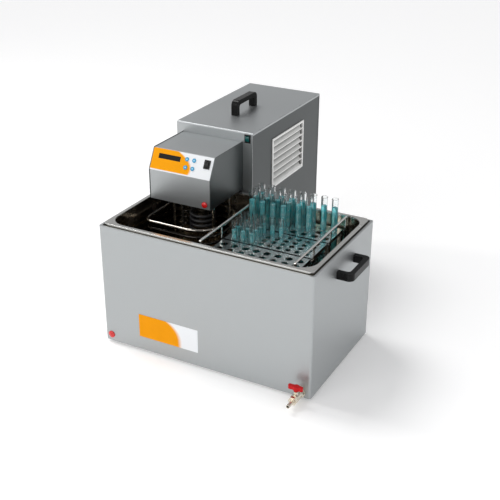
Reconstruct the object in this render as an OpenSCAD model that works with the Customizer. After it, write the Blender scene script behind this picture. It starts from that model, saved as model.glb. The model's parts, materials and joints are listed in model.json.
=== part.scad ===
// Refrigerated circulating water bath. A stainless tank in a sheet-steel casing,
// a control head that hangs over the tank, a chiller box behind it, a drain tap
// and a lift-out carrier with three test-tube racks.
// X runs to the right along the front, Y to the back, Z up. The origin is on the
// table, under the middle of the whole machine.

/* [Bath] */
// Width of the bath casing
bath_w = 560; // [540:5:600]
// Depth of the bath casing, front to back
bath_d = 338; // [330:2:360]
// Height of the casing's top edge above the table
bath_h = 315; // [305:5:330]
// Depth of the tank below its rim
tank_depth = 206; // [190:2:210]
// Corner radius of the tank
tank_r = 40; // [30:1:45]
// Height of the feet
foot_h = 6; // [5:1:10]

/* [Chiller] */
// Width of the chiller box
chiller_w = 220; // [200:5:230]
// Depth of the chiller box
chiller_d = 402; // [390:2:420]
// Height of its top above the table
chiller_h = 476; // [470:2:490]
// Distance from the bath's left side to the chiller's left side
chiller_inset = 8; // [4:1:12]
// Gap between the bath casing and the chiller
chiller_gap = 5; // [4:1:8]

/* [Control head] */
// Width over the two cheeks
head_w = 175; // [165:1:180]
// Height of the head's underside above the table
head_floor = 325; // [324:1:330]
// Overall height of the head
head_h = 127; // [120:1:130]
// Height of the upright front below the sloping panel
head_front_h = 77; // [72:1:80]
// How far the head reaches out in front of the chiller
head_reach = 162.6; // [155:0.2:165]
// How far the panel leans back from its foot to its top
panel_setback = 26.6; // [22:0.2:30]

/* [Handles] */
// Length of a handle over both legs
handle_len = 111; // [105:1:120]
// Width of the handle bar
handle_w = 17.5; // [16:0.5:20]
// Height of the handle over its seat
handle_rise = 39; // [36:1:42]

/* [Drain tap] */
// Distance of the tap's axis from the casing's right side
tap_inset = 24; // [20:1:40]
// Height of the tap's axis above the table
tap_z = 20; // [19:1:24]
// Reach of the hose tail in front of the casing
tap_reach = 67; // [65:1:75]
// Outside diameter of the hose tail
tail_d = 9; // [8:0.5:10]

/* [Racks] */
// Height of the rails above the table
rail_z = 321; // [318:1:322]
// Height of the racks' top plates above the table
plate_z = 288; // [284:1:290]
// Width of a rack
rack_w = 228; // [224:1:230]
// Pitch of the large holes, left to right
large_pitch_x = 28; // [27:0.5:28]
// Pitch of the large holes, front to back
large_pitch_y = 25; // [24:0.5:25]
// Pitch of the small holes, left to right
small_pitch_x = 23.5; // [22:0.5:24]
// Pitch of the small holes, front to back
small_pitch_y = 20; // [19:0.5:20]
// Outside diameter of a tall tube
tall_d = 16; // [15:0.5:16]
// Length of a tall tube
tall_l = 150; // [140:1:160]
// Outside diameter of a short tube
short_d = 13; // [12:0.5:13]
// Length of a short tube
short_l = 100; // [90:1:105]

/* [Hidden] */
$fn = 48;

// Sheet thickness of the housings
sheet = 1.2;
// Running gap of a shaft or stem in its hole, on the radius
fit = 0.05;
// Length added to a cutter so that it passes its faces
eps = 1;

// --- bath ---
casing_r = 6;
lip = 5.5;
groove_floor = bath_h - 7;
groove_in = 2 * (lip - sheet);
ledge = 10.6;
rim_z = bath_h + 6;
rim_w = bath_w - 16;
rim_d = bath_d - 16;
rim_r = 12;
tank_w = bath_w - 34;
tank_d = bath_d - 34;
tank_floor = rim_z - tank_depth;
foot_r = 13;

// Front plug's centre, and the printed film on the front
plug_x = -bath_w / 2 + 17.5;
plug_z = 22.7;
label_x0 = -178;
label_w = 165;
label_z0 = 42;
label_h = 61;

// --- handles ---
handle_z = 266;
handle_y = 5.5;
handle_leg = 14;
handle_grip = 12.5;
screw_r = 3;

// --- chiller ---
chiller_x0 = -bath_w / 2 + chiller_inset;
chiller_x1 = chiller_x0 + chiller_w;
chiller_xm = (chiller_x0 + chiller_x1) / 2;
chiller_y0 = bath_d / 2 + chiller_gap;
chiller_y1 = chiller_y0 + chiller_d;
side_recess = 0.8;
top_skirt = 7;
bolt_r = 3;
inlet_x = chiller_x0 + 45;
inlet_z = 70;

// Louvre opening in the right side
louvre_y0 = 287;
louvre_y1 = 469;
louvre_z0 = 295;
louvre_z1 = 425;
slats = 7;
slat_short = 10;

// --- the machine's middle, front to back ---
y_front = -bath_d / 2 - tap_reach;
y_mid = (y_front + chiller_y1) / 2;

// --- head ---
head_x0 = chiller_x0 + 18;
head_x1 = head_x0 + head_w;
head_xm = (head_x0 + head_x1) / 2;
head_y0 = chiller_y0 - head_reach;
head_top = head_floor + head_h;
head_kink = head_floor + head_front_h;
panel_rise = head_top - head_kink;
panel_len = norm([panel_setback, panel_rise]);
panel_tilt = atan2(panel_rise, panel_setback);
cheek_t = 2.5;
fascia_t = 1;
key_r = 5;
key_travel = 0.8;
head_sheet = 1.5;

// Places on the sloping panel: across from the head's middle, and up the slope
key_spots = [[12.5, 40.5], [32.5, 40.5], [12.5, 20.3], [32.5, 20.3]];
mains_rocker_at = [69.5, 36.8];
display_at = [-36.5, 37];
display_size = [62, 12.4];

// --- rocker switches ---
rocker_w = 17;
rocker_l = 22;
rocker_r = 14;
rocker_pivot = -2;
rocker_rest = 9;
switch_hole = [13, 18];
rocker_x = chiller_x1 - 13.7;
rocker_z = chiller_h - 15.5;

// --- drain ---
tap_x = bath_w / 2 - tap_inset;
pipe_r = 8;
outlet_x = tap_x - 26;
outlet_y = -bath_d / 2 + 60;
ball_y = -bath_d / 2 - 25;
stem_r = 3;
ball_r = 8;
lever_h = 10;
lever_w = 9;
lever_back = 15;
lever_front = 12;
tail_bore = 3;
body_back = -bath_d / 2 - 7;
body_front = -bath_d / 2 - 44;

// Drain pipe: down from the tank's floor, across and out through the front
pipe_pts = [
  [outlet_x, outlet_y, tank_floor - 1.5],
  [outlet_x, outlet_y, tap_z],
  [tap_x, outlet_y, tap_z],
  [tap_x, -bath_d / 2 - 13, tap_z]
];

// --- pump, heater and coil ---
pump_x = head_xm + 14;
pump_y = 95;
shaft_r = 4;
impeller_z = tank_floor + 20;
column_r = 16;
heater_r = 30;
heater_z = 236;
heater_rod_r = 4;
heater_pitch = 13;
probe_x = head_xm - 20;
probe_y = 52;
probe_z = 190;
probe_r = 3;

// Stay rods from the head down to the pump
stay_spots = [[head_x0 + 53, 40], [head_x1 - 8, 36], [head_x0 + 53, 122], [head_x1 - 8, 118]];
stay_r = 3;

// --- cooling coil and its lines ---
line_x = [head_x0 + 76, head_x0 + 106];
line_z = 350;
line_r = 3;
coil_r = 4;
coil_turns = 5;
coil_pitch = 18;
coil_top = 281;
coil_x0 = -bath_w / 2 + 32;
coil_x1 = -58;
coil_y0 = -28;
coil_y1 = 142;
coil_bend_left = 24;
coil_bend_right = 70;
coil_riser_y = coil_y1 - 2;
riser_r = 3.5;

// --- condenser, fan and compressor ---
fan_y = 378;
fan_z = 360;
fan_r = 62;
condenser_x1 = chiller_x1 - 12;
condenser_t = 44;
condenser_x0 = condenser_x1 - condenser_t;
condenser_y0 = 296;
condenser_y1 = 460;
condenser_z0 = 296;
condenser_z1 = 424;
fins = 16;
fin_pitch = 10.8;
comp_x = chiller_xm - 42;
comp_y = 480;
comp_r = 44;
dryer_y = 262;

// --- racks ---
rack_x0 = -14;
rack_x1 = rack_x0 + rack_w;
rack_xm = (rack_x0 + rack_x1) / 2;
rail_r = 3;
rail_x0 = rack_x0 - 5;
rail_x1 = rack_x1 + 5;
bay_y = [-139, -42, 52, 143];
rod_r = 2.5;
plate_t = 1.5;
plate_gap = 1.2;
rod_z = plate_z - plate_t - rod_r - 0.1;
tall_base = plate_z - 67;
short_base = plate_z - 57;
tall_hole_r = tall_d / 2 + 0.6;
short_hole_r = short_d / 2 + 0.6;
glass_t = 1.1;
tall_fill = 128;
short_fill = 78;

// Places in the grids: [column, row], counted from the right-hand rear hole
large_cols = 8;
large_rows = 3;
small_cols = 9;
small_rows = 4;
large_grid = [for (c = [0:large_cols - 1], r = [0:large_rows - 1]) [c, r]];
small_grid = [for (c = [0:small_cols - 1], r = [0:small_rows - 1]) [c, r]];
tall_spots = [for (g = large_grid) if (g[0] >= [0, 2, 4][g[1]]) g];
short_spots = [for (g = small_grid) if (g[0] >= 6 || (g[1] == 0 && g[0] >= 4)) g];

// Moves the bath's own middle to its place behind the origin
module placed() { translate([0, -y_mid, 0]) children(); }

// Rounded rectangle about the origin
module plan(w, d, r) {
  square([w - 2 * r, d], center = true);
  square([w, d - 2 * r], center = true);
  for (sx = [-1, 1], sy = [-1, 1])
    translate([sx * (w / 2 - r), sy * (d / 2 - r)]) circle(r = r);
}

// Upright slab on that plan
module slab(w, d, r, z0, z1) {
  translate([0, 0, z0]) linear_extrude(z1 - z0) plan(w, d, r);
}

// Upright ring between two plans
module ring(w, d, r, t, z0, z1) {
  difference() {
    slab(w, d, r, z0, z1);
    slab(w - 2 * t, d - 2 * t, max(r - t, 1), z0 - eps, z1 + eps);
  }
}

// Box from one corner to the other
module block(a, b) { translate(a) cube(b - a); }

// Round bar from one point to another
module bar(a, b, r) {
  d = b - a;
  translate(a)
    rotate([0, acos(d[2] / norm(d)), atan2(d[1], d[0])])
      cylinder(r = r, h = norm(d));
}

// Bent round bar through a list of points, with ball corners
module bent(pts, r) {
  for (i = [0:len(pts) - 2]) bar(pts[i], pts[i + 1], r);
  if (len(pts) > 2) for (i = [1:len(pts) - 2]) translate(pts[i]) sphere(r = r);
}

// Bow handle that stands on the plane z = 0 with its length along Y
module bow_handle() {
  r_out = 14;
  r_in = 7;
  inner_z = handle_rise - handle_grip;
  difference() {
    translate([-handle_w / 2, 0, 0]) rotate([90, 0, 90]) linear_extrude(handle_w) difference() {
      union() {
        translate([-handle_len / 2, 0]) square([handle_len, handle_rise - r_out]);
        translate([-handle_len / 2 + r_out, 0]) square([handle_len - 2 * r_out, handle_rise]);
        for (s = [-1, 1]) translate([s * (handle_len / 2 - r_out), handle_rise - r_out]) circle(r = r_out);
      }
      translate([-handle_len / 2 + handle_leg, -eps])
        square([handle_len - 2 * handle_leg, inner_z - r_in + eps]);
      translate([-handle_len / 2 + handle_leg + r_in, -eps])
        square([handle_len - 2 * (handle_leg + r_in), inner_z + eps]);
      for (s = [-1, 1])
        translate([s * (handle_len / 2 - handle_leg - r_in), inner_z - r_in]) circle(r = r_in);
    }
    for (s = [-1, 1])
      translate([0, s * (handle_len - handle_leg) / 2, -eps]) cylinder(r = screw_r + fit, h = 14 + eps);
  }
}

// The two screws that hold a bow handle from inside the sheet
module bow_screws() {
  for (s = [-1, 1]) translate([0, s * (handle_len - handle_leg) / 2, 0]) {
    translate([0, 0, -sheet]) cylinder(r = screw_r, h = 13);
    translate([0, 0, -sheet - 3.5]) cylinder(r = 5, h = 3.5);
  }
}

// Seats of the three handles
module at_right() { translate([bath_w / 2, handle_y, handle_z]) rotate([0, 90, 0]) children(); }
module at_left() { translate([-bath_w / 2, handle_y, handle_z]) rotate([0, -90, 0]) children(); }
module at_lid() { translate([chiller_xm - 1, 336.5, chiller_h]) children(); }

// Holes for the handle screws
module screw_holes() {
  for (s = [-1, 1])
    translate([0, s * (handle_len - handle_leg) / 2, -5]) cylinder(r = screw_r + fit, h = 10);
}

module bath_casing() color([0.75, 0.77, 0.78]) placed() difference() {
  union() {
    ring(bath_w, bath_d, casing_r, sheet, foot_h, bath_h);
    ring(bath_w, bath_d, casing_r, lip, bath_h - sheet, bath_h);
    ring(bath_w - groove_in, bath_d - groove_in, casing_r, sheet, groove_floor, bath_h);
    ring(bath_w - groove_in, bath_d - groove_in, casing_r, ledge, groove_floor, groove_floor + sheet);
    ring(bath_w, bath_d, casing_r, 9, foot_h, foot_h + sheet);
  }
  at_right() screw_holes();
  at_left() screw_holes();
  translate([tap_x, 0, tap_z]) rotate([90, 0, 0]) cylinder(r = pipe_r + fit, h = bath_d);
  translate([plug_x, 0, plug_z]) rotate([90, 0, 0]) cylinder(r = 4 + fit, h = bath_d);
  joining_points() rotate([-90, 0, 0]) cylinder(r = bolt_r + fit, h = 40, center = true);
}

// The four bolts between the bath and the chiller
module joining_points() {
  for (x = [chiller_x0 + 30, chiller_x1 - 30], z = [60, 250])
    translate([x, bath_d / 2 + chiller_gap / 2, z]) children();
}

module joining_bolts() color([0.6, 0.6, 0.62]) placed() joining_points() rotate([-90, 0, 0]) {
  cylinder(r = bolt_r, h = chiller_gap + 12, center = true);
  cylinder(r = 8, h = chiller_gap, center = true);
  for (s = [-1, 1])
    translate([0, 0, s * (chiller_gap / 2 + sheet + 2)]) cylinder(r = 5.5, h = 4, center = true, $fn = 6);
}

module bath_base_plate() color([0.62, 0.64, 0.65]) placed() difference() {
  edge = 2 * sheet + 0.4;
  slab(bath_w - edge, bath_d - edge, casing_r - sheet, foot_h + sheet, foot_h + 2.5 * sheet);
  feet_points(0) cylinder(r = 2.5 + fit, h = 40, center = true);
}

// Foot centres: four under the bath (0) or four under the chiller (1)
module feet_points(which) {
  if (which == 0)
    for (sx = [-1, 1], sy = [-1, 1])
      translate([sx * (bath_w / 2 - 26), sy * (bath_d / 2 - 26), 0]) children();
  else
    for (x = [chiller_x0 + 26, chiller_x1 - 26], y = [chiller_y0 + 26, chiller_y1 - 26])
      translate([x, y, 0]) children();
}

module feet() color([0.08, 0.08, 0.08]) placed() for (which = [0, 1]) feet_points(which) {
  cylinder(r = foot_r, h = foot_h + (which == 0 ? sheet : 0));
  cylinder(r = 2.5, h = foot_h + sheet + 4.5);
}

module tank_insulation() color([0.85, 0.8, 0.6]) placed() difference() {
  slab(tank_w + 22, tank_d + 20, tank_r, tank_floor - 16, groove_floor - 6);
  slab(tank_w + 4, tank_d + 4, tank_r + 2, tank_floor - 2 * sheet, bath_h);
  translate([outlet_x, outlet_y, 0]) cylinder(r = pipe_r + 1, h = bath_h);
}

module inner_tank() color([0.8, 0.8, 0.78]) placed() difference() {
  union() {
    slab(tank_w + 2 * sheet, tank_d + 2 * sheet, tank_r + sheet, tank_floor - 1.5, rim_z - sheet);
    slab(rim_w, rim_d, rim_r, rim_z - sheet, rim_z);
    ring(rim_w, rim_d, rim_r, sheet, groove_floor + sheet, rim_z);
  }
  slab(tank_w, tank_d, tank_r, tank_floor, rim_z + eps);
  translate([outlet_x, outlet_y, 0]) cylinder(r = pipe_r - 2, h = bath_h);
}

module side_handle_right() color([0.05, 0.05, 0.05]) placed() at_right() bow_handle();
module side_handle_left() color([0.05, 0.05, 0.05]) placed() at_left() bow_handle();
module lid_handle() color([0.05, 0.05, 0.05]) placed() at_lid() bow_handle();

module handle_screws() color([0.6, 0.6, 0.62]) placed() {
  at_right() bow_screws();
  at_left() bow_screws();
  at_lid() bow_screws();
}

module front_label() color([0.95, 0.6, 0.1]) placed()
  translate([label_x0, -bath_d / 2 - 0.5, label_z0]) cube([label_w, 0.5, label_h]);

module front_plug() color([0.8, 0.05, 0.05]) placed()
  translate([plug_x, -bath_d / 2, plug_z]) rotate([90, 0, 0]) {
    cylinder(r = 9, h = 1.5);
    intersection() {
      translate([0, 0, -9]) sphere(r = 13.5);
      translate([0, 0, 1]) cylinder(r = 8.2, h = 10);
    }
    translate([0, 0, -9]) cylinder(r = 4, h = 10);
  }

module drain_pipe() color([0.72, 0.72, 0.7]) placed() difference() {
  bent(pipe_pts, pipe_r);
  bent([
    pipe_pts[0] + [0, 0, eps],
    pipe_pts[1],
    pipe_pts[2],
    pipe_pts[3] - [0, eps, 0]
  ], pipe_r - 2);
}

// Turns the tap's parts so that local z runs out to the front from the wall
module at_tap(y) { translate([tap_x, y, tap_z]) rotate([90, 0, 0]) children(); }

module drain_nut() color([0.78, 0.76, 0.7]) placed() at_tap(-bath_d / 2) difference() {
  cylinder(r = 13.5, h = 6, $fn = 6);
  translate([0, 0, -eps]) cylinder(r = pipe_r, h = 8);
}

module tap_body() color([0.8, 0.76, 0.68]) placed() difference() {
  union() {
    at_tap(body_back) cylinder(r = 11.5, h = 9, $fn = 6);
    at_tap(body_back - 9) cylinder(r = 10.2, h = 19);
    at_tap(body_front + 9) cylinder(r = 11, h = 9, $fn = 6);
    translate([tap_x, ball_y, tap_z]) cylinder(r = 5.5, h = 16);
  }
  at_tap(body_back + eps) cylinder(r = pipe_r, h = 7);
  at_tap(body_back) cylinder(r = 5, h = body_back - body_front + eps);
  at_tap(body_front + 8) cylinder(r = 6, h = 8 + eps);
  translate([tap_x, ball_y, tap_z]) sphere(r = ball_r + fit);
  translate([tap_x, ball_y, tap_z]) cylinder(r = stem_r + fit, h = 20);
}

// Ball with a straight bore, which lies across the pipe when the tap is shut
module tap_ball() color([0.85, 0.85, 0.85]) placed()
  translate([tap_x, ball_y, tap_z]) rotate([0, 90, 0]) rotate_extrude() intersection() {
    circle(r = ball_r);
    translate([4.5, -ball_r]) square([4, 2 * ball_r]);
  }

module tap_lever() color([0.82, 0.06, 0.06]) placed() translate([tap_x, ball_y, tap_z]) {
  translate([0, 0, ball_r]) cylinder(r = stem_r, h = 12);
  translate([0, 0, 16.4]) cylinder(r = 5.6, h = 8);
  translate([0, 0, 20]) linear_extrude(lever_h) {
    circle(r = 7.5);
    translate([-lever_back, -lever_w / 2]) square([lever_back + lever_front, lever_w]);
    translate([-lever_back, 0]) circle(r = lever_w / 2);
    translate([lever_front, 0]) circle(r = lever_w / 2);
  }
}

module hose_tail() color([0.8, 0.78, 0.72]) placed() at_tap(body_front) difference() {
  union() {
    translate([0, 0, -8]) cylinder(r = 6, h = 8);
    cylinder(r = 8, h = 4, $fn = 6);
    cylinder(r = tail_d / 2, h = tap_reach - 44);
  }
  translate([0, 0, -9]) cylinder(r = tail_bore, h = 40);
}

// --- chiller box ---

// Outline of the bent sheet that makes the front, the top and the back, seen from the side
module wrap_outline(inset) {
  r = 4 - min(inset, 2);
  y0 = chiller_y0 + inset;
  y1 = chiller_y1 - inset;
  z1 = chiller_h - inset;
  below = inset > 0 ? eps : 0;
  translate([y0, foot_h - below]) square([y1 - y0, z1 - r - foot_h + below]);
  translate([y0 + r, foot_h]) square([y1 - y0 - 2 * r, z1 - foot_h]);
  for (y = [y0 + r, y1 - r]) translate([y, z1 - r]) circle(r = r);
}

module chiller_wrap() color([0.7, 0.72, 0.73]) placed() difference() {
  union() {
    translate([chiller_x0, 0, 0]) rotate([90, 0, 90]) linear_extrude(chiller_w) difference() {
      wrap_outline(0);
      wrap_outline(sheet);
    }
    for (x = [chiller_x0, chiller_x1 - side_recess])
      translate([x, chiller_y0 + 2, chiller_h - top_skirt])
        cube([side_recess, chiller_d - 4, top_skirt - 2]);
  }
  at_lid() screw_holes();
  joining_points() rotate([-90, 0, 0]) cylinder(r = bolt_r + fit, h = 40, center = true);
  translate([rocker_x, chiller_y0, rocker_z]) cube([switch_hole[0], 10, switch_hole[1]], center = true);
  for (x = line_x)
    translate([x, chiller_y0, line_z]) rotate([90, 0, 0]) cylinder(r = 2 * riser_r, h = 10, center = true);
  translate([inlet_x, chiller_y1, inlet_z]) cube([28, 10, 21], center = true);
  for (x = [-3:3], z = [0:4])
    translate([chiller_xm + x * 24, chiller_y1, 330 + z * 22]) cube([16, 10, 6], center = true);
}

// One side panel between the front and the back, set in a little from the sheet's edge
module side_panel(x) {
  block([x, chiller_y0 + sheet, foot_h + 0.3], [x + sheet, chiller_y1 - sheet, chiller_h - sheet]);
  inward = x < chiller_xm ? 0 : -8;
  for (y = [chiller_y0 + sheet, chiller_y1 - 2 * sheet])
    block([x + inward, y, foot_h + 16], [x + inward + 8 + sheet, y + sheet, chiller_h - 32]);
}

module chiller_side_left() color([0.42, 0.45, 0.46]) placed() side_panel(chiller_x0 + side_recess);

module chiller_side_right() color([0.42, 0.45, 0.46]) placed() difference() {
  side_panel(chiller_x1 - side_recess - sheet);
  block([chiller_x1 - 20, louvre_y0, louvre_z0], [chiller_x1 + 5, louvre_y1, louvre_z1]);
}

module louvre_grille() color([0.92, 0.92, 0.9]) placed() {
  x1 = chiller_x1 + 1.6;
  difference() {
    union() {
      block([chiller_x1 - side_recess, louvre_y0 - 3, louvre_z0 - 3], [x1, louvre_y1 + 3, louvre_z1 + 3]);
      block([chiller_x1 - 8, louvre_y0, louvre_z0], [x1, louvre_y1, louvre_z1]);
    }
    block([chiller_x1 - 20, louvre_y0 + 3, louvre_z0 + 3], [x1 + 5, louvre_y1 - 3, louvre_z1 - 3]);
  }
  pitch = (louvre_z1 - louvre_z0 - 6) / slats;
  face = [[-4.5, 6], [3.4, -6.6], [3.4, -5], [-4.5, 7.6]];
  lip = [[2.6, -8], [4.5, -8], [4.5, -4.6], [2.6, -4.6]];
  length = louvre_y1 - louvre_y0 - 4;
  for (i = [0:slats - 1])
    translate([chiller_x1 - 3.3, louvre_y1 - 2, louvre_z0 + 3 + (i + 0.5) * pitch]) rotate([90, 0, 0]) {
      translate([0, 0, slat_short]) linear_extrude(length - slat_short) polygon(face);
      linear_extrude(length) polygon(lip);
    }
}

module chiller_base() color([0.6, 0.62, 0.63]) placed() difference() {
  union() {
    x0 = chiller_x0 + side_recess + sheet;
    x1 = chiller_x1 - side_recess - sheet;
    block([x0, chiller_y0 + sheet, foot_h], [x1, chiller_y1 - sheet, foot_h + 1.5]);
    for (y = [chiller_y0 + sheet, chiller_y1 - 2 * sheet])
      block([x0, y, foot_h], [x1, y + sheet, foot_h + 14]);
  }
  feet_points(1) cylinder(r = 2.5 + fit, h = 40, center = true);
}

// --- refrigeration parts ---
module condenser() color([0.7, 0.5, 0.35]) placed() {
  for (i = [0:fins - 1])
    translate([condenser_x0, condenser_y0 + i * fin_pitch, condenser_z0])
      cube([condenser_t, sheet, condenser_z1 - condenser_z0]);
  for (i = [0:3], x = [condenser_x0 + 12, condenser_x1 - 12])
    translate([x, condenser_y0 - 6, condenser_z0 + 16 + i * 32])
      rotate([-90, 0, 0]) cylinder(r = 4.5, h = 176);
}

module fan_shroud() color([0.2, 0.2, 0.2]) placed() {
  x = condenser_x0;
  difference() {
    block([x - 24, condenser_y0 - 4, condenser_z0], [x, condenser_y1 + 2, condenser_z1]);
    block([x - 22, condenser_y0 - 2, condenser_z0 + 2], [x + eps, condenser_y1, condenser_z1 - 2]);
    translate([x - 30, fan_y, fan_z]) rotate([0, 90, 0]) cylinder(r = fan_r - 5, h = 20);
  }
  for (y = [condenser_y0 - 4, condenser_y1])
    block([x - 24, y, foot_h + 1.5], [x - 14, y + 2, condenser_z0 + 1]);
  for (a = [45:90:315]) {
    r0 = 24;
    r1 = fan_r + 2;
    bar(
      [x - 26, fan_y + r0 * cos(a), fan_z + r0 * sin(a)],
      [x - 26, fan_y + r1 * cos(a), fan_z + r1 * sin(a)],
      2.5
    );
  }
  translate([x - 34, fan_y, fan_z]) rotate([0, 90, 0]) difference() {
    cylinder(r = 27, h = 10);
    translate([0, 0, -eps]) cylinder(r = 24, h = 20);
  }
}

module fan_motor() color([0.3, 0.32, 0.34]) placed() {
  x = condenser_x0;
  translate([x - 72, fan_y, fan_z]) rotate([0, 90, 0]) difference() {
    cylinder(r = 24, h = 46);
    translate([0, 0, 20]) cylinder(r = 3 + fit, h = 40);
  }
}

module fan_blades() color([0.15, 0.15, 0.15]) placed() {
  x = condenser_x0;
  translate([x - 45, fan_y, fan_z]) rotate([0, 90, 0]) {
    cylinder(r = 3, h = 32);
    translate([0, 0, 22]) cylinder(r = 14, h = 12);
    for (i = [0:4])
      rotate([0, 0, i * 72]) translate([30, 0, 28]) rotate([28, 0, 0]) cube([38, 22, 1.6], center = true);
  }
}

module compressor() color([0.08, 0.08, 0.09]) placed() translate([comp_x, comp_y, 0]) {
  translate([0, 0, foot_h + 1.5]) linear_extrude(4) square([104, 104], center = true);
  for (sx = [-1, 1], sy = [-1, 1]) translate([sx * 40, sy * 40, foot_h + 5]) cylinder(r = 7, h = 12);
  slab(96, 96, 10, 22, 26);
  translate([0, 0, 26]) cylinder(r = comp_r, h = 100);
  translate([0, 0, 126]) intersection() {
    translate([0, 0, -30]) sphere(r = norm([comp_r, 30]));
    cylinder(r = comp_r, h = 40);
  }
}

module refrigerant_lines() color([0.75, 0.45, 0.25]) placed() {
  x_cond = condenser_x0 + 12;
  x_out = comp_x + 56;
  // Hot gas from the compressor to the condenser
  bent([
    [comp_x + comp_r, comp_y, 120],
    [x_out, comp_y, 120],
    [x_out, comp_y, 250],
    [x_cond, comp_y, 250],
    [x_cond, comp_y, condenser_z0 + 16],
    [x_cond, condenser_y1 + 6, condenser_z0 + 16]
  ], line_r);
  // Cold gas from the coil back to the compressor
  bent([
    [line_x[0], chiller_y0 + 1, line_z],
    [line_x[0], dryer_y - 12, line_z],
    [line_x[0], dryer_y - 12, 90],
    [line_x[0], comp_y - 34, 90]
  ], riser_r);
  // Liquid from the condenser through the filter dryer to the coil
  bent([
    [line_x[1], chiller_y0 + 1, line_z],
    [line_x[1], dryer_y, line_z],
    [line_x[1], dryer_y, 200]
  ], line_r);
  translate([line_x[1], dryer_y, 120]) cylinder(r = 11, h = 80);
  bent([
    [line_x[1], dryer_y, 120],
    [line_x[1], dryer_y, 60],
    [x_cond, dryer_y, 60],
    [x_cond, dryer_y, condenser_z0 + 80],
    [x_cond, condenser_y0 - 6, condenser_z0 + 80]
  ], line_r);
}

module at_inlet() { translate([inlet_x, chiller_y1, inlet_z]) rotate([90, 0, 0]) children(); }
module mains_inlet() color([0.06, 0.06, 0.06]) placed() at_inlet() {
  difference() {
    union() {
      linear_extrude(22) square([27.6, 20.6], center = true);
      translate([0, 0, -1.8]) linear_extrude(1.8) plan(40, 28, 3);
    }
    translate([0, 0, -3]) linear_extrude(19) square([23, 16], center = true);
  }
  for (x = [-7, 0, 7]) translate([x, 0, 0]) block([-1, -2, 2], [1, 2, 17]);
}

// --- control head ---

// Side outline of the head in Y and Z, moved in by i on the front, the slope and the top,
// with its foot lowered by drop
function head_outline(i, drop = 0) = [
  [head_y0 + i, head_floor - drop],
  [head_y0 + i, head_kink - i * tan((90 - panel_tilt) / 2)],
  [head_y0 + panel_setback + i * tan(panel_tilt / 2), head_top - i],
  [chiller_y0, head_top - i],
  [chiller_y0, head_floor - drop]
];

// Stands a side outline up in the YZ plane between two X values
module across(x0, x1) { translate([x0, 0, 0]) rotate([90, 0, 90]) linear_extrude(x1 - x0) children(); }

// Carries a flat drawing onto the sloping panel: x across from the head's middle, y up the slope
module on_panel() {
  translate([head_xm, head_y0, head_kink]) rotate([panel_tilt, 0, 0]) children();
}

module head_cover() color([0.72, 0.74, 0.75]) placed() difference() {
  across(head_x0 + cheek_t, head_x1 - cheek_t) difference() {
    polygon(head_outline(fascia_t));
    polygon(head_outline(fascia_t + head_sheet, eps));
  }
  on_panel() {
    for (k = key_spots) translate([k[0], k[1], -10]) cylinder(r = key_r + 0.4, h = 20);
    translate(display_at) linear_extrude(20, center = true) square(display_size + [1, 1], center = true);
    translate(mains_rocker_at) linear_extrude(20, center = true) square(switch_hole, center = true);
  }
  cutout_place() cylinder(r = 5.3, h = 20, center = true);
}

module head_cheeks() color([0.3, 0.33, 0.34]) placed()
  for (x = [head_x0, head_x1 - cheek_t]) across(x, x + cheek_t) polygon(head_outline(0));

module head_base() color([0.7, 0.72, 0.73]) placed() difference() {
  block(
    [head_x0 + cheek_t, head_y0 + fascia_t + head_sheet, head_floor],
    [head_x1 - cheek_t, chiller_y0, head_floor + 2]
  );
  translate([pump_x, pump_y, 0]) cylinder(r = shaft_r + 3, h = head_top);
  for (p = stay_spots) translate([p[0], p[1], 0]) cylinder(r = stay_r, h = head_top);
  translate([probe_x, probe_y, 0]) cylinder(r = probe_r, h = head_top);
  for (x = line_x) translate([x, coil_riser_y, 0]) cylinder(r = riser_r + 1.5, h = head_top);
}

module control_fascia() color([0.97, 0.65, 0.1]) placed() on_panel() difference() {
  translate([-head_w / 2 + cheek_t, 0, -fascia_t]) cube([head_w - 2 * cheek_t, panel_len - 1.5, fascia_t]);
  for (k = key_spots) translate([k[0], k[1], -5]) cylinder(r = key_r + 0.3, h = 10);
  translate(display_at) linear_extrude(10, center = true) square(display_size, center = true);
  translate(mains_rocker_at) linear_extrude(10, center = true) square(switch_hole, center = true);
}

module display_window() color([0.03, 0.03, 0.03]) placed() on_panel()
  translate([display_at[0], display_at[1], -2.6])
    linear_extrude(2.4) square(display_size - [2 * fit, 2 * fit], center = true);

module key(i) placed() on_panel()
  translate([key_spots[i][0], key_spots[i][1], -3]) cylinder(r = key_r, h = 4.2);
module key_up() color([0.1, 0.5, 0.8]) key(0);
module key_down() color([0.1, 0.5, 0.8]) key(1);
module key_set() color([0.1, 0.5, 0.8]) key(2);
module key_run() color([0.1, 0.5, 0.8]) key(3);

// Rocker switch: a frame with a lens-shaped rocker that tilts about its middle
module bezel() {
  difference() {
    union() {
      linear_extrude(1.6) square([rocker_w, rocker_l], center = true);
      translate([0, 0, -12]) linear_extrude(12) square([12.8, 17.8], center = true);
    }
    translate([0, 0, -10]) linear_extrude(20) square([10.6, 15.6], center = true);
  }
}

module rocker() translate([0, 0, rocker_pivot]) rotate([rocker_rest, 0, 0]) intersection() {
  translate([-5, 0, -rocker_r + 6.2]) rotate([0, 90, 0]) cylinder(r = rocker_r, h = 10);
  translate([0, 0, -4]) linear_extrude(14) square([10, 13.6], center = true);
}

module at_mains_rocker() {
  on_panel() translate([mains_rocker_at[0], mains_rocker_at[1], 0]) children();
}
module at_chiller_rocker() { translate([rocker_x, chiller_y0, rocker_z]) rotate([90, 0, 0]) children(); }

module rocker_bezels() color([0.05, 0.05, 0.05]) placed() {
  at_mains_rocker() bezel();
  at_chiller_rocker() bezel();
}
module mains_rocker() color([0.06, 0.06, 0.06]) placed() at_mains_rocker() rocker();
module chiller_rocker() color([0.05, 0.35, 0.35]) placed() at_chiller_rocker() rocker();

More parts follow.
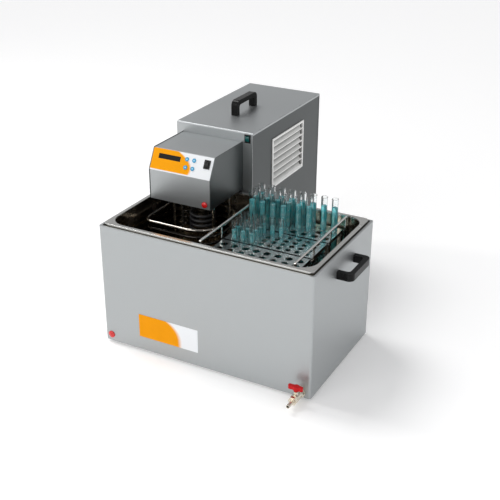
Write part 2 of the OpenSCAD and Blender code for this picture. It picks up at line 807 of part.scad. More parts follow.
module cutout_place() {
  translate([head_x1 - 16.8, head_y0 + fascia_t, head_floor + 12.6]) rotate([90, 0, 0]) children();
}
module cutout_button() color([0.8, 0.05, 0.05]) placed() cutout_place() {
  translate([0, 0, -8]) cylinder(r = 5, h = 10);
  translate([0, 0, 2]) cylinder(r = 7.5, h = 1.4);
  intersection() {
    translate([0, 0, -4.8]) sphere(r = 10.4);
    translate([0, 0, 2]) cylinder(r = 7, h = 10);
  }
}

module control_board() color([0.1, 0.4, 0.2]) placed() {
  block([head_x0 + 12, head_y0 + 75, head_top - 32], [head_x1 - 12, chiller_y0 - 8, head_top - 30.4]);
  block([head_x0 + 30, head_y0 + 95, head_top - 30.4], [head_x0 + 70, head_y0 + 125, head_top - 8]);
  block([head_x0 + 92, head_y0 + 88, head_top - 30.4], [head_x0 + 124, head_y0 + 112, head_top - 18]);
  for (x = [head_x0 + 14, head_x1 - 14], y = [head_y0 + 79, chiller_y0 - 12])
    translate([x, y, head_top - 32]) cylinder(r = 2, h = 29.5);
}

module at_pump(z) { translate([pump_x, pump_y, z]) children(); }
module pump_motor() color([0.35, 0.37, 0.4]) placed() at_pump(head_floor + 2) difference() {
  union() {
    slab(60, 60, 8, 0, 6);
    cylinder(r = 28, h = 58);
    translate([0, 0, 58]) cylinder(r = 22, h = 5);
  }
  translate([0, 0, -eps]) cylinder(r = shaft_r + fit, h = 50);
}

module pump_shaft() color([0.8, 0.8, 0.8]) placed()
  at_pump(impeller_z) cylinder(r = shaft_r, h = head_floor + 40 - impeller_z);

module impeller() color([0.2, 0.2, 0.22]) placed() at_pump(impeller_z) difference() {
  union() {
    cylinder(r = 24, h = 2);
    cylinder(r = 9, h = 16);
    for (i = [0:5]) rotate([0, 0, i * 60]) translate([4, -1, 0]) cube([20, 2, 12]);
  }
  translate([0, 0, -eps]) cylinder(r = shaft_r, h = 20);
}

module pump_housing() color([0.75, 0.75, 0.74]) placed() {
  difference() {
    at_pump(impeller_z) {
      translate([0, 0, -4]) cylinder(r = 32, h = 24);
      translate([0, 0, 20]) cylinder(r = column_r, h = head_floor - impeller_z - 20);
    }
    at_pump(impeller_z) {
      translate([0, 0, -1]) cylinder(r = 27, h = 18);
      translate([0, 0, -10]) cylinder(r = 12, h = 12);
      translate([0, 0, 10]) cylinder(r = 12, h = head_floor - impeller_z);
      translate([0, 24, 8]) rotate([-90, 0, 0]) cylinder(r = 6, h = 20);
    }
  }
  for (p = stay_spots) {
    side_x = p[0] < pump_x ? -1 : 1;
    side_y = p[1] < pump_y ? -1 : 1;
    translate([p[0], p[1], impeller_z]) cylinder(r = stay_r, h = head_floor + 2 - impeller_z);
    bar(
      [p[0], p[1], impeller_z + 7],
      [pump_x + side_x * 26.5, pump_y + side_y * 13.2, impeller_z + 7],
      stay_r - 0.8
    );
  }
}

// Heater: rings about the pump column with two leads up into the head
module heater() color([0.55, 0.52, 0.48]) placed() {
  for (i = [0:3])
    at_pump(heater_z + i * heater_pitch)
      rotate_extrude() translate([heater_r, 0]) circle(r = heater_rod_r);
  for (s = [-1, 1])
    translate([pump_x + s * heater_r, pump_y, heater_z])
      cylinder(r = heater_rod_r, h = head_floor - heater_z);
}

module temperature_probe() color([0.82, 0.82, 0.82]) placed() translate([probe_x, probe_y, 0]) {
  translate([0, 0, probe_z]) cylinder(r = probe_r, h = head_floor + 10 - probe_z);
  translate([0, 0, probe_z]) sphere(r = probe_r);
  translate([0, 0, head_floor + 2]) cylinder(r = 7, h = 8, $fn = 6);
}

// Cooling coil: rounded turns, each a step lower, joined at the back, with two risers
module coil_turn(z) {
  l = coil_bend_left;
  r = coil_bend_right;
  xa = coil_x0 + l;
  xb = coil_x1 - r;
  bar([xa, coil_y0, z], [xb, coil_y0, z], coil_r);
  bar([xa, coil_y1, z], [xb, coil_y1, z], coil_r);
  bar([coil_x0, coil_y0 + l, z], [coil_x0, coil_y1 - l, z], coil_r);
  bar([coil_x1, coil_y0 + r, z], [coil_x1, coil_y1 - r, z], coil_r);
  for (c = [
    [xb, coil_y1 - r, 0, r],
    [xa, coil_y1 - l, 90, l],
    [xa, coil_y0 + l, 180, l],
    [xb, coil_y0 + r, 270, r]
  ])
    translate([c[0], c[1], z]) rotate([0, 0, c[2]])
      rotate_extrude(angle = 90) translate([c[3], 0]) circle(r = coil_r);
}
module cooling_coil() color([0.78, 0.78, 0.76]) placed() {
  for (i = [0:coil_turns - 1]) coil_turn(coil_top - i * coil_pitch);
  for (i = [0:coil_turns - 2])
    translate([head_xm - 30 + 60 * (i % 2), coil_y1, coil_top - (i + 1) * coil_pitch])
      cylinder(r = coil_r - 0.5, h = coil_pitch);
  for (x = line_x) {
    bar([x, coil_riser_y, coil_top], [x, coil_riser_y, line_z], riser_r);
    translate([x, coil_riser_y, line_z]) sphere(r = riser_r);
    bar([x, coil_riser_y, line_z], [x, chiller_y0 + 1, line_z], riser_r);
  }
}

// --- carrier and racks ---
module carrier() color([0.85, 0.85, 0.84]) placed() {
  for (x = [rail_x0, rail_x1]) bar([x, bay_y[0], rail_z], [x, bay_y[3], rail_z], rail_r);
  for (y = bay_y) {
    bar([rail_x0, y, rod_z], [rail_x1, y, rod_z], rod_r);
    for (x = [rail_x0, rail_x1]) {
      translate([x, y, rod_z]) sphere(r = rod_r);
      bar([x, y, rod_z], [x, y, rail_z], rod_r);
    }
  }
  for (x = [rail_x0, rail_x1], y = [bay_y[0], bay_y[3]])
    bar([x, y, tank_floor + 0.2], [x, y, rod_z], rod_r);
}

// One rack of folded sheet: holed top plate, base plate and two end plates
module rack_frame(i, base) {
  t = plate_t;
  x0 = rack_x0 + 1;
  x1 = rack_x1 - 1;
  y0 = bay0(i);
  y1 = bay1(i);
  block([x0, bay_y[i] + plate_gap, plate_z - t], [x1, bay_y[i + 1] - plate_gap, plate_z]);
  block([x0, y0, base - t], [x1, y1, base]);
  for (x = [x0, x1 - t]) difference() {
    block([x, y0, base - t], [x + t, y1, plate_z]);
    block([x - eps, y0 + 8, base + 8], [x + t + eps, y1 - 8, plate_z - 9]);
  }
  for (y = [y0, y1 - t]) block([x0, y, plate_z - 4.5], [x1, y + t, plate_z]);
}

function bay0(i) = bay_y[i] + rod_r + 1;
function bay1(i) = bay_y[i + 1] - rod_r - 1;

// Centres of the grid holes
function large_xy(g, i) = [
  rack_xm + ((large_cols - 1) / 2 - g[0]) * large_pitch_x,
  (bay0(i) + bay1(i)) / 2 + ((large_rows - 1) / 2 - g[1]) * large_pitch_y
];
function small_xy(g) = [
  rack_xm + ((small_cols - 1) / 2 - g[0]) * small_pitch_x,
  (bay0(1) + bay1(1)) / 2 + ((small_rows - 1) / 2 - g[1]) * small_pitch_y
];

module large_rack(i) difference() {
  rack_frame(i, tall_base);
  for (g = large_grid) translate(concat(large_xy(g, i), [plate_z - 10])) cylinder(r = tall_hole_r, h = 20);
}
module rack_front() color([0.7, 0.72, 0.72]) placed() large_rack(0);
module rack_rear() color([0.7, 0.72, 0.72]) placed() large_rack(2);
module rack_middle() color([0.7, 0.72, 0.72]) placed() difference() {
  rack_frame(1, short_base);
  for (g = small_grid) translate(concat(small_xy(g), [plate_z - 10])) cylinder(r = short_hole_r, h = 20);
}

// Glass tube with a round bottom, open at the top
module tube(d, l) {
  r = d / 2;
  difference() {
    union() {
      translate([0, 0, r]) cylinder(r = r, h = l - r);
      translate([0, 0, r]) sphere(r = r);
      translate([0, 0, l - 2]) cylinder(r = r + 0.5, h = 2);
    }
    translate([0, 0, r]) cylinder(r = r - glass_t, h = l);
    translate([0, 0, r]) sphere(r = r - glass_t);
  }
}
module fill(d, h) {
  r = d / 2 - glass_t - fit;
  translate([0, 0, d / 2]) cylinder(r = r, h = h - d / 2);
  translate([0, 0, d / 2]) sphere(r = r);
}

module at_tall() { for (g = tall_spots) translate(concat(large_xy(g, 2), [tall_base])) children(); }
module at_short() { for (g = short_spots) translate(concat(small_xy(g), [short_base])) children(); }
module tall_tubes() color([0.8, 0.9, 0.9, 0.4]) placed() at_tall() tube(tall_d, tall_l);
module tall_tube_liquid() color([0.1, 0.5, 0.55]) placed() at_tall() fill(tall_d, tall_fill);
module short_tubes() color([0.8, 0.9, 0.9, 0.4]) placed() at_short() tube(short_d, short_l);
module short_tube_liquid() color([0.1, 0.5, 0.55]) placed() at_short() fill(short_d, short_fill);

bath_casing();
bath_base_plate();
feet();
tank_insulation();
inner_tank();
side_handle_left();
side_handle_right();
handle_screws();
front_label();
front_plug();
drain_pipe();
drain_nut();
tap_body();
tap_ball();
tap_lever();
hose_tail();
chiller_wrap();
chiller_side_left();
chiller_side_right();
chiller_base();
lid_handle();
louvre_grille();
condenser();
fan_shroud();
fan_motor();
fan_blades();
compressor();
refrigerant_lines();
cooling_coil();
mains_inlet();
rocker_bezels();
chiller_rocker();
joining_bolts();
head_cover();
head_cheeks();
head_base();
control_fascia();
display_window();
key_up();
key_down();
key_set();
key_run();
mains_rocker();
cutout_button();
control_board();
pump_motor();
pump_shaft();
impeller();
pump_housing();
heater();
temperature_probe();
carrier();
rack_front();
rack_middle();
rack_rear();
tall_tubes();
tall_tube_liquid();
short_tubes();
short_tube_liquid();
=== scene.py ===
import json
import math

import bmesh
import bpy
from mathutils import Matrix, Vector


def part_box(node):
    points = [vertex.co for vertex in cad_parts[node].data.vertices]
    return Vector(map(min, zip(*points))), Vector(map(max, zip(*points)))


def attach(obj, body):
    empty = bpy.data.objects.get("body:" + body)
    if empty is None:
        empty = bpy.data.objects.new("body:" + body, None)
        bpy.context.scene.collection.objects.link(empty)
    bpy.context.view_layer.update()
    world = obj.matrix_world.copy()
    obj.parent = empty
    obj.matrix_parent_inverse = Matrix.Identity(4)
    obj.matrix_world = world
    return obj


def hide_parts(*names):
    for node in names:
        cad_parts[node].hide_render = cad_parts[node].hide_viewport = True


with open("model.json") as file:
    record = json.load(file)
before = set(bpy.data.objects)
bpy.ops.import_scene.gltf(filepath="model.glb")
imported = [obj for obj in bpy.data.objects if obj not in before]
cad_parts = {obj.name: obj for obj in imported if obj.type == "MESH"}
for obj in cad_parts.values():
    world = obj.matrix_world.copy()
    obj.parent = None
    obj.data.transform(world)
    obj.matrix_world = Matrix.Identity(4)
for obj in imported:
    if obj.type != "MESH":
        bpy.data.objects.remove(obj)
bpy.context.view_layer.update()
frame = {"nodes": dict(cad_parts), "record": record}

MM = 0.001

# Places that the rest of the script works from, all read from the CAD model
casing_low, casing_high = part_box("bath_casing")
casing_mid = (casing_low + casing_high) / 2
casing_w = casing_high.x - casing_low.x
tank_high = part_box("inner_tank")[1]
record = frame["record"]
node_slot = {s["node"]: s["material_slot"] for s in record["subparts"]}
node_body = {n: b for b, ns in record["behaviour"]["bodies"].items() for n in ns}


# --- camera -------------------------------------------------------------------------------

AZIMUTH = math.radians(28.05)
ELEVATION = math.radians(25.84)
ROLL = math.radians(0.23)
LENS_MM = 67.7
SENSOR_MM = 36.0
# From the middle of the casing's footprint to the camera, in casing widths
CAMERA_OFFSET = Vector((1.7591, -3.1841, 2.1963))


def make_camera():
    """Looks at the machine from the front right and above, from about four casing widths away."""
    back = Vector((
        math.sin(AZIMUTH) * math.cos(ELEVATION),
        -math.cos(AZIMUTH) * math.cos(ELEVATION),
        math.sin(ELEVATION),
    ))
    foot = Vector((casing_mid.x, casing_mid.y, 0.0))
    place = foot + CAMERA_OFFSET * casing_w
    data = bpy.data.cameras.new("camera")
    data.lens = LENS_MM
    data.sensor_width = SENSOR_MM
    data.clip_start = 0.05
    data.clip_end = 60.0
    camera = bpy.data.objects.new("camera", data)
    bpy.context.scene.collection.objects.link(camera)
    right = Vector((0, 0, 1)).cross(back).normalized()
    up = back.cross(right)
    x_axis = math.cos(ROLL) * right + math.sin(ROLL) * up
    y_axis = -math.sin(ROLL) * right + math.cos(ROLL) * up
    turn = Matrix((x_axis, y_axis, back)).transposed().to_4x4()
    camera.matrix_world = Matrix.Translation(place) @ turn
    bpy.context.scene.camera = camera


make_camera()


# --- material building blocks -------------------------------------------------------------

class Nodes:
    """A material's node tree with short ways to add to it."""

    def __init__(self, name):
        self.material = bpy.data.materials.new(name)
        self.material.use_nodes = True
        self.tree = self.material.node_tree
        self.shader = self.tree.nodes["Principled BSDF"]
        self.where = None

    def add(self, kind, **values):
        node = self.tree.nodes.new(kind)
        for key, value in values.items():
            setattr(node, key, value)
        return node

    def link(self, out, into):
        self.tree.links.new(out, into)

    def point(self):
        """The place on the object, in metres, in the CAD model's own frame."""
        if self.where is None:
            self.where = self.add("ShaderNodeTexCoord").outputs["Object"]
        return self.where

    def stretched(self, scale, shift=(0, 0, 0)):
        mapping = self.add("ShaderNodeMapping")
        mapping.inputs["Scale"].default_value = scale
        mapping.inputs["Location"].default_value = shift
        self.link(self.point(), mapping.inputs["Vector"])
        return mapping.outputs["Vector"]

    def noise(self, scale, detail=3.0, roughness=0.5, vector=None):
        noise = self.add("ShaderNodeTexNoise")
        noise.inputs["Scale"].default_value = scale
        noise.inputs["Detail"].default_value = detail
        noise.inputs["Roughness"].default_value = roughness
        self.link(vector or self.point(), noise.inputs["Vector"])
        return noise.outputs["Fac"]

    def math(self, operation, a, b=None, clamp=False):
        node = self.add("ShaderNodeMath", operation=operation, use_clamp=clamp)
        for i, value in enumerate(v for v in (a, b) if v is not None):
            if isinstance(value, (int, float)):
                node.inputs[i].default_value = value
            else:
                self.link(value, node.inputs[i])
        return node.outputs[0]

    def spread(self, value, low, high, to_low, to_high):
        """value from low..high carried over to to_low..to_high, and held at the ends."""
        node = self.add("ShaderNodeMapRange")
        for name, number in (("From Min", low), ("From Max", high), ("To Min", to_low), ("To Max", to_high)):
            node.inputs[name].default_value = number
        self.link(value, node.inputs["Value"])
        return node.outputs["Result"]

    def mix(self, share, a, b):
        """Colour a turning into colour b as share goes from 0 to 1; each is a tuple or a socket."""
        node = self.add("ShaderNodeMix", data_type="RGBA")
        self.link(share, node.inputs["Factor"])
        for socket, value in (("A", a), ("B", b)):
            target = [s for s in node.inputs if s.name == socket and s.type == "RGBA"][0]
            if isinstance(value, tuple):
                target.default_value = (*value[:3], 1.0)
            else:
                self.link(value, target)
        return [s for s in node.outputs if s.type == "RGBA"][0]

    def axes(self):
        """The x, y and z of the place on the object."""
        node = self.add("ShaderNodeSeparateXYZ")
        self.link(self.point(), node.inputs[0])
        return node.outputs

    def bump(self, height, strength, distance):
        node = self.add("ShaderNodeBump")
        node.inputs["Strength"].default_value = strength
        node.inputs["Distance"].default_value = distance
        self.link(height, node.inputs["Height"])
        self.link(node.outputs["Normal"], self.shader.inputs["Normal"])

    def set(self, **values):
        """Uniform values, put on the shader's own sockets."""
        names = {"color": "Base Color", "ior": "IOR", "coat_roughness": "Coat Roughness",
                 "transmission": "Transmission Weight", "coat": "Coat Weight",
                 "specular": "Specular IOR Level", "emission": "Emission Strength"}
        for key, value in values.items():
            socket = self.shader.inputs[names.get(key, key.capitalize())]
            if key == "color":
                value = (*value[:3], 1.0)
            socket.default_value = value


# Streaks of brushed metal: how often they change per metre, across them and along them
ACROSS, ALONG = 2600.0, 40.0
STREAK_SCALE = {
    "x": (ALONG, ACROSS, ACROSS),
    "y": (ACROSS, ALONG, ACROSS),
    "z": (ACROSS, ACROSS, ALONG),
}


def brushed(name, color, roughness, along="z"):
    """Sheet metal with fine streaks along one axis, and a faint uneven tone from handling."""
    n = Nodes(name)
    cloud = 0.035
    streaks = n.noise(1.0, 2.0, 0.6, n.stretched(STREAK_SCALE[along]))
    smears = n.noise(2.6, 4.0, 0.55)
    tone = n.math("ADD", n.math("MULTIPLY", streaks, 0.5), n.math("MULTIPLY", smears, 0.5))
    dark = tuple(c * (1 - cloud) for c in color[:3])
    pale = tuple(min(1.0, c * (1 + cloud)) for c in color[:3])
    n.link(n.mix(n.spread(tone, 0.35, 0.65, 0, 1), dark, pale), n.shader.inputs["Base Color"])
    n.link(n.spread(tone, 0.3, 0.7, roughness * 0.85, roughness * 1.2), n.shader.inputs["Roughness"])
    n.set(metallic=1.0)
    n.bump(streaks, 0.06, 0.00005)
    return n.material


def polished(name, color, roughness):
    """Bright metal with faint ripples from drawing and a little haze."""
    n = Nodes(name)
    haze = n.noise(14.0, 4.0, 0.6)
    ripple = n.noise(5.0, 2.0, 0.4)
    n.link(n.spread(haze, 0.35, 0.7, roughness * 0.7, roughness * 1.7), n.shader.inputs["Roughness"])
    n.link(n.mix(haze, tuple(c * 0.93 for c in color[:3]), color[:3]), n.shader.inputs["Base Color"])
    n.set(metallic=1.0)
    n.bump(ripple, 0.25, 0.002)
    return n.material


def moulded(name, color, roughness, grain=0.15, coat=0.0, specular=0.5):
    """Moulded plastic or rubber: a fine grain, and a tone that varies slightly."""
    n = Nodes(name)
    grit = n.noise(1800.0, 2.0, 0.5)
    drift = n.noise(18.0, 3.0, 0.5)
    n.link(n.mix(drift, tuple(c * 0.85 for c in color[:3]), tuple(min(1, c * 1.12) for c in color[:3])),
           n.shader.inputs["Base Color"])
    n.link(n.spread(drift, 0.3, 0.7, roughness * 0.88, roughness * 1.12), n.shader.inputs["Roughness"])
    n.set(coat=coat, coat_roughness=0.12, specular=specular)
    n.bump(grit, grain, 0.0001)
    return n.material


def painted(name, color, roughness):
    """Enamel with a slight orange-peel surface."""
    n = Nodes(name)
    peel = n.noise(350.0, 2.0, 0.5)
    drift = n.noise(8.0, 3.0, 0.5)
    n.link(n.mix(drift, tuple(c * 0.9 for c in color[:3]), color[:3]), n.shader.inputs["Base Color"])
    n.link(n.spread(drift, 0.3, 0.7, roughness * 0.85, roughness * 1.15), n.shader.inputs["Roughness"])
    n.bump(peel, 0.08, 0.0002)
    return n.material


ORANGE = (0.88, 0.345, 0.003)
LABEL_ORANGE = (0.84, 0.315, 0.002)
WHITE = (0.80, 0.82, 0.84)


def two_tone(name, node, orange, edge, bow, bow_at, power, softness, foot=0.0):
    """Printed film that is orange on the left and white on the right, with a bowed, soft border.

    edge is how far the border stands from the left at its furthest, bow how far it falls back one
    whole height away from bow_at, and power how suddenly; all are shares of the film's own width
    and height. foot is the share of the height at the bottom that stays white."""
    low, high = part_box(node)
    n = Nodes(name)
    x, _, z = n.axes()
    across = n.spread(x, low.x, high.x, 0, 1)
    height = n.spread(z, low.z, high.z, 0, 1)
    lag = n.math("ABSOLUTE", n.math("SUBTRACT", height, bow_at))
    border = n.math("SUBTRACT", edge, n.math("MULTIPLY", n.math("POWER", lag, power), bow))
    past = n.math("SUBTRACT", across, border)
    mottle = n.math("MULTIPLY", n.math("SUBTRACT", n.noise(900.0, 1.0), 0.5), softness * 0.5)
    share = n.spread(n.math("ADD", past, mottle), -softness, softness, 0, 1)
    ink = n.mix(n.spread(n.noise(30.0), 0.3, 0.7, 0, 1), tuple(c * 0.95 for c in orange), orange)
    body = n.mix(share, ink, WHITE)
    if foot > 0:
        body = n.mix(n.spread(height, foot * 0.9, foot * 1.1, 1, 0), body, WHITE)
    n.link(body, n.shader.inputs["Base Color"])
    n.link(n.spread(n.noise(40.0), 0.3, 0.7, 0.5, 0.62), n.shader.inputs["Roughness"])
    n.set(specular=0.07)
    n.bump(n.noise(2500.0, 1.0), 0.05, 0.00005)
    return n.material


def drawn_tank():
    """Deep-drawn steel: a bright satin rim, and mirror walls below it with faint ripples, painted dark and
    tan as painted shade and warm reflection.
    """
    n = Nodes("drawn_steel")
    _, _, z = n.axes()
    rim = n.spread(z, tank_high.z - 5 * MM, tank_high.z - 3 * MM, 0, 1)
    haze = n.noise(14.0, 4.0, 0.6)
    # Painted shade and reflection: the walls' dark tan tone stands in for the dark inside of the tank and
    # the warm light it reflects
    wall = n.mix(haze, (0.36, 0.315, 0.25), (0.50, 0.44, 0.355))
    n.link(n.mix(rim, wall, (0.60, 0.60, 0.58)), n.shader.inputs["Base Color"])
    wet = n.spread(haze, 0.35, 0.7, 0.14, 0.32)
    satin = n.spread(n.noise(30.0), 0.3, 0.7, 0.2, 0.28)
    dull = n.add("ShaderNodeMix", data_type="FLOAT")
    n.link(rim, dull.inputs[0])
    n.link(wet, dull.inputs[2])
    n.link(satin, dull.inputs[3])
    n.link(dull.outputs[0], n.shader.inputs["Roughness"])
    n.set(metallic=1.0)
    n.bump(n.noise(6.0, 1.0, 0.4), 0.3, 0.004)
    return n.material


def glass(name):
    """Clear glass with faint drawn streaks in its wall."""
    n = Nodes(name)
    n.set(color=(0.98, 1.0, 1.0), ior=1.47, transmission=1.0)
    n.link(n.spread(n.noise(60.0), 0.3, 0.7, 0.0, 0.03), n.shader.inputs["Roughness"])
    n.bump(n.noise(1.0, 1.0, 0.4, n.stretched((300.0, 300.0, 12.0))), 0.05, 0.0005)
    return n.material


def dyed_water(name):
    """Teal liquid that lets part of the light through, in swirls of slightly uneven depth."""
    n = Nodes(name)
    swirl = n.spread(n.noise(90.0, 3.0), 0.3, 0.7, 0, 1)
    n.link(n.mix(swirl, (0.14, 0.90, 0.99), (0.44, 0.98, 1.0)), n.shader.inputs["Base Color"])
    n.link(n.spread(swirl, 0, 1, 0.0, 0.06), n.shader.inputs["Roughness"])
    n.set(ior=1.34, transmission=0.66)
    n.bump(n.noise(45.0, 1.0), 0.05, 0.0005)
    return n.material


def key_material():
    """Blue key with a pale middle, worked out for whichever key it is on."""
    n = Nodes("key_film")
    share = None
    for name in ("key_up", "key_down", "key_set", "key_run"):
        low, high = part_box(name)
        mid = (low + high) / 2
        reach = n.add("ShaderNodeVectorMath", operation="DISTANCE")
        n.link(n.point(), reach.inputs[0])
        reach.inputs[1].default_value = mid
        near = n.spread(reach.outputs["Value"], 2.2 * MM, 3.2 * MM, 1, 0)
        share = near if share is None else n.math("MAXIMUM", share, near)
    n.link(n.mix(share, (0.02, 0.30, 0.55), (0.45, 0.72, 0.84)), n.shader.inputs["Base Color"])
    n.link(n.spread(n.noise(60.0), 0.3, 0.7, 0.25, 0.35), n.shader.inputs["Roughness"])
    return n.material


def slatted():
    """White louvre plastic with painted shade: greyer the deeper it lies behind the grille's face, standing
    in for the shade between the slats.
    """
    n = Nodes("louvre_plastic")
    low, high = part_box("louvre_grille")
    thick = high.x - low.x
    x, _, _ = n.axes()
    # Painted shade: grey deep behind the grille's face turning to white at its face, with noise jittering
    # the border
    depth = n.spread(x, low.x + thick * 0.25, high.x - thick * 0.12, 0, 1)
    shade_jitter = n.math("MULTIPLY", n.math("SUBTRACT", n.noise(70.0), 0.5), 0.25)
    n.link(n.mix(n.math("ADD", depth, shade_jitter, clamp=True), (0.27, 0.27, 0.265), (0.92, 0.92, 0.90)),
           n.shader.inputs["Base Color"])
    n.link(n.spread(n.noise(40.0), 0.3, 0.7, 0.35, 0.45), n.shader.inputs["Roughness"])
    n.bump(n.noise(1800.0, 2.0), 0.1, 0.0001)
    return n.material


# Painted shade: the dark, slightly brown colour the carrier and the coil take on where shade falls on them
PAINTED_SHADE = (0.05, 0.045, 0.04)


def shaded_below(name, unshaded, unshaded_z, shaded_z, roughness):
    """Painted shade: a bright bar that turns dark and brown below a height, from the upper height given down
    to the lower one, standing in for the shade that falls there.
    """
    n = Nodes(name)
    _, _, z = n.axes()
    wave = n.math("MULTIPLY", n.math("SUBTRACT", n.noise(60.0), 0.5), 4 * MM)
    depth = n.spread(n.math("ADD", z, wave), shaded_z, unshaded_z, 0, 1)
    n.link(n.mix(depth, PAINTED_SHADE, unshaded), n.shader.inputs["Base Color"])
    n.link(n.spread(n.noise(30.0), 0.3, 0.7, roughness * 0.7, roughness * 1.5), n.shader.inputs["Roughness"])
    n.set(metallic=1.0)
    n.bump(n.noise(5.0, 2.0, 0.4), 0.25, 0.002)
    return n.material


def folded_sheet():
    """Rack sheet with painted shade and a painted reflection: near-black strips along the edges where two
    racks meet stand in for the shade in the seams, and a slight teal tint stands in for the teal liquid it
    reflects.
    """
    n = Nodes("folded_sheet")
    _, y, _ = n.axes()
    front, middle, rear = (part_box(name) for name in ("rack_front", "rack_middle", "rack_rear"))
    shade = None
    # Painted shade: near-black within 2.6 to 3.8 mm of each seam, wider than the gap between the racks
    for seam in ((front[1].y + middle[0].y) / 2, (middle[1].y + rear[0].y) / 2):
        apart = n.math("ABSOLUTE", n.math("SUBTRACT", y, seam))
        near = n.spread(apart, 2.6 * MM, 3.8 * MM, 1, 0)
        shade = near if shade is None else n.math("MAXIMUM", shade, near)
    streaks = n.noise(1.0, 2.0, 0.6, n.stretched(STREAK_SCALE["x"]))
    # Painted reflection: the slight teal tint of the bare sheet stands in for the teal liquid it reflects
    bare = n.mix(n.spread(streaks, 0.35, 0.65, 0, 1), (0.43, 0.48, 0.48), (0.48, 0.53, 0.53))
    n.link(n.mix(shade, bare, (0.02, 0.022, 0.022)), n.shader.inputs["Base Color"])
    n.link(n.spread(streaks, 0.3, 0.7, 0.18, 0.26), n.shader.inputs["Roughness"])
    n.set(metallic=1.0)
    n.bump(streaks, 0.06, 0.00005)
    return n.material


STEEL = (0.430, 0.448, 0.454)
BAR_STEEL = (0.74, 0.73, 0.71)
materials = {
    "steel": brushed("brushed_steel", STEEL, 0.45, "z"),
    # Painted shade: the chiller's sides are the same brushed steel as its front, painted much darker for the
    # shade on them
    "side_steel": brushed("side_steel", (0.070, 0.077, 0.078), 0.34, "z"),
    "cheek": brushed("cheek_steel", (0.115, 0.127, 0.128), 0.42, "z"),
    "inner_steel": brushed("plated_sheet", (0.5, 0.49, 0.46), 0.4, "y"),
    "tank_steel": drawn_tank(),
    "polished": polished("polished_bar", BAR_STEEL, 0.14),
    "rack_steel": folded_sheet(),
    "handle": moulded("handle_plastic", (0.004, 0.004, 0.004), 0.3, specular=0.16),
    "rubber": moulded("foot_rubber", (0.02, 0.02, 0.02), 0.7, 0.3),
    "mat": moulded("wool_mat", (0.7, 0.62, 0.42), 0.9, 0.6),
    "label": two_tone("label_film", "front_label", LABEL_ORANGE,
                      edge=0.70, bow=0.21, bow_at=0.0, power=3.2, softness=0.035),
    "fascia": two_tone("fascia_film", "control_fascia", ORANGE,
                       edge=0.662, bow=0.48, bow_at=0.29, power=2.0, softness=0.02, foot=0.065),
    "display": moulded("display_plastic", (0.012, 0.012, 0.010), 0.35, 0.02, specular=0.12),
    "red": moulded("red_plastic", (0.62, 0.012, 0.012), 0.22, 0.04, 0.4),
    "lever": moulded("lever_sleeve", (0.50, 0.010, 0.012), 0.4, 0.08, specular=0.15),
    "black": moulded("black_plastic", (0.012, 0.012, 0.013), 0.3, specular=0.3),
    "green_rocker": moulded("green_cap", (0.006, 0.09, 0.085), 0.2, 0.05, 0.5),
    "nickel": polished("nickel_plate", (0.72, 0.66, 0.56), 0.2),
    "louvre": slatted(),
    "key": key_material(),
    "copper": polished("copper_tube", (0.75, 0.38, 0.22), 0.25),
    "fins": brushed("fin_sheet", (0.6, 0.6, 0.6), 0.4, "z"),
    "black_steel": painted("black_enamel", (0.02, 0.02, 0.022), 0.35),
    "motor": brushed("cast_motor", (0.3, 0.31, 0.33), 0.5, "x"),
    "board": moulded("board_mask", (0.02, 0.18, 0.06), 0.4),
    "zinc": polished("zinc_plate", (0.6, 0.6, 0.62), 0.25),
    "glass": glass("tube_glass"),
    "liquid": dyed_water("teal_liquid"),
}

# Nodes that don't look like the rest of their slot: the carrier is painted dark below the racks' top
# plates, and the coil below its uppermost turn, which lies 34 mm under the rim; both are painted shade
rack_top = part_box("rack_front")[1].z
coil_top = tank_high.z - 34 * MM
own_finish = {
    "carrier": shaded_below("carrier_bar", BAR_STEEL, rack_top + 4 * MM, rack_top - 3 * MM, 0.14),
    "cooling_coil": shaded_below("coil_tube", (0.62, 0.58, 0.52), coil_top, coil_top - 8 * MM, 0.12),
}


def finish_of(node):
    return own_finish.get(node, materials[node_slot[node]])


# --- CAD nodes with eased edges ------------------------------------------------------------

# Edges that bend more than ROUND_OVER are rounded; past SHARP_OVER they are shaded as corners
ROUND_OVER = math.radians(28)
SHARP_OVER = math.radians(32)
# Faces that differ by less than this are joined first
FLAT_WITHIN = math.radians(0.6)


def eased(node, width):
    """A copy of a CAD node with its outward edges rounded by width, which stands for the node.

    Inward corners stay as they are, so that none is filled."""
    source = frame["nodes"][node]
    mesh = bpy.data.meshes.new(node + "_eased")
    work = bmesh.new()
    work.from_mesh(source.data)
    bmesh.ops.remove_doubles(work, verts=work.verts, dist=1e-6)
    bmesh.ops.dissolve_limit(work, angle_limit=FLAT_WITHIN, verts=work.verts, edges=work.edges)
    outward = [
        e for e in work.edges
        if len(e.link_faces) == 2 and e.is_convex and e.calc_face_angle(0) > ROUND_OVER
    ]
    bmesh.ops.bevel(
        work, geom=outward, offset=width, offset_type="OFFSET", segments=2,
        profile=0.5, affect="EDGES", clamp_overlap=True,
    )
    for face in work.faces:
        face.smooth = True
    for edge in work.edges:
        edge.smooth = len(edge.link_faces) == 2 and edge.calc_face_angle(0) < SHARP_OVER
    work.to_mesh(mesh)
    work.free()
    piece = bpy.data.objects.new(node + "_finish", mesh)
    bpy.context.scene.collection.objects.link(piece)
    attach(piece, node_body[node])
    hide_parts(node)
    piece.data.materials.append(finish_of(node))
    weigh = piece.modifiers.new("flat_faces_stay_flat", "WEIGHTED_NORMAL")
    weigh.mode = "FACE_AREA"
    weigh.weight = 100
    weigh.keep_sharp = True


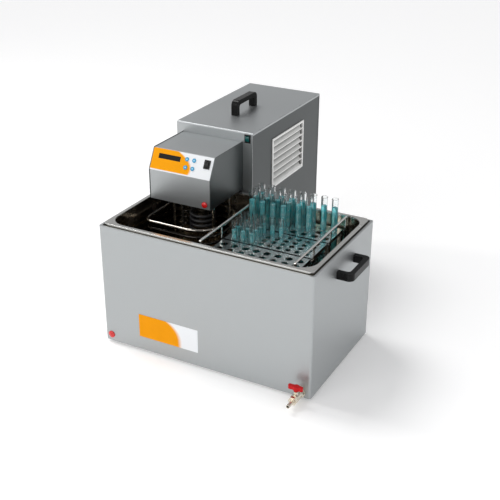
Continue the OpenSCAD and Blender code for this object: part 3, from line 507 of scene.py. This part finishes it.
# How far the outward edges of a node are rounded, in millimetres
EASE_MM = {
    "bath_casing": 0.9, "inner_tank": 0.8, "chiller_wrap": 0.3, "chiller_side_right": 0.25,
    "chiller_side_left": 0.25, "head_cover": 0.4, "head_cheeks": 0.6, "control_fascia": 0.15,
    "side_handle_left": 2.2, "side_handle_right": 2.2, "lid_handle": 2.2, "tap_body": 0.5,
    "tap_lever": 1.0, "hose_tail": 0.4, "drain_nut": 0.5, "feet": 1.0, "louvre_grille": 0.3,
    "mains_inlet": 0.4, "rocker_bezels": 0.5, "mains_rocker": 0.5, "chiller_rocker": 0.5,
    "rack_front": 0.2, "rack_middle": 0.2, "rack_rear": 0.2,
}

for node, obj in frame["nodes"].items():
    if node in EASE_MM:
        eased(node, EASE_MM[node] * MM)
    else:
        obj.data.materials.clear()
        obj.data.materials.append(finish_of(node))


# --- floor, light --------------------------------------------------------------------------

def make_floor():
    mesh = bpy.data.meshes.new("floor")
    half = 14.0
    corners = [(-half, -half, 0), (half, -half, 0), (half, half, 0), (-half, half, 0)]
    mesh.from_pydata(corners, [], [(0, 1, 2, 3)])
    floor = bpy.data.objects.new("floor", mesh)
    bpy.context.scene.collection.objects.link(floor)
    n = Nodes("floor_paper")
    n.set(color=(0.88, 0.88, 0.88), roughness=0.7, specular=0.1, emission=0.22)
    n.shader.inputs["Emission Color"].default_value = (1, 1, 1, 1)
    n.bump(n.noise(220.0, 2.0), 0.02, 0.0002)
    mesh.materials.append(n.material)


def make_world():
    """A pale studio that darkens overhead."""
    world = bpy.data.worlds.new("studio")
    bpy.context.scene.world = world
    world.use_nodes = True
    tree = world.node_tree
    back = tree.nodes["Background"]
    where = tree.nodes.new("ShaderNodeTexCoord")
    split = tree.nodes.new("ShaderNodeSeparateXYZ")
    tree.links.new(where.outputs["Generated"], split.inputs[0])
    ramp = tree.nodes.new("ShaderNodeValToRGB")
    stops = ramp.color_ramp.elements
    stops[0].position = 0.0
    stops[0].color = (1.0, 1.0, 1.0, 1)
    stops[1].position = 1.0
    stops[1].color = (0.25, 0.25, 0.26, 1)
    for position, level in ((0.12, 0.95), (0.35, 0.55)):
        stop = stops.new(position)
        stop.color = (level, level, level * 1.01, 1)
    tree.links.new(split.outputs["Z"], ramp.inputs["Fac"])
    tree.links.new(ramp.outputs["Color"], back.inputs["Color"])
    back.inputs["Strength"].default_value = 0.9


def softbox(name, place, target, size, watts, color=(1, 1, 1)):
    data = bpy.data.lights.new(name, "AREA")
    data.shape = "RECTANGLE"
    data.size, data.size_y = size
    data.energy = watts
    data.color = color
    lamp = bpy.data.objects.new(name, data)
    bpy.context.scene.collection.objects.link(lamp)
    lamp.location = place
    lamp.rotation_mode = "QUATERNION"
    lamp.rotation_quaternion = (Vector(target) - Vector(place)).to_track_quat("-Z", "Y")


def sunlight(name, heading, strength, spread_deg):
    data = bpy.data.lights.new(name, "SUN")
    data.energy = strength
    data.angle = math.radians(spread_deg)
    lamp = bpy.data.objects.new(name, data)
    bpy.context.scene.collection.objects.link(lamp)
    lamp.rotation_mode = "QUATERNION"
    lamp.rotation_quaternion = Vector(heading).to_track_quat("-Z", "Y")


WARM = (1.0, 0.97, 0.92)

make_floor()
make_world()
sunlight("window_light", heading=(1.0, -0.25, -1.5), strength=1.5, spread_deg=28)
softbox("front_light", place=(-0.7, -3.2, 2.2), target=(0.0, 0.0, 0.3), size=(2.6, 1.8), watts=40)
softbox("side_light", place=(-2.6, -0.3, 1.2), target=(0.05, -0.15, 0.3), size=(0.3, 1.3), watts=20,
        color=WARM)
softbox("strip_light", place=(2.3, -2.5, 1.7), target=(0.1, -0.2, 0.3), size=(0.22, 1.3), watts=11)

bpy.context.scene.view_settings.view_transform = "Standard"
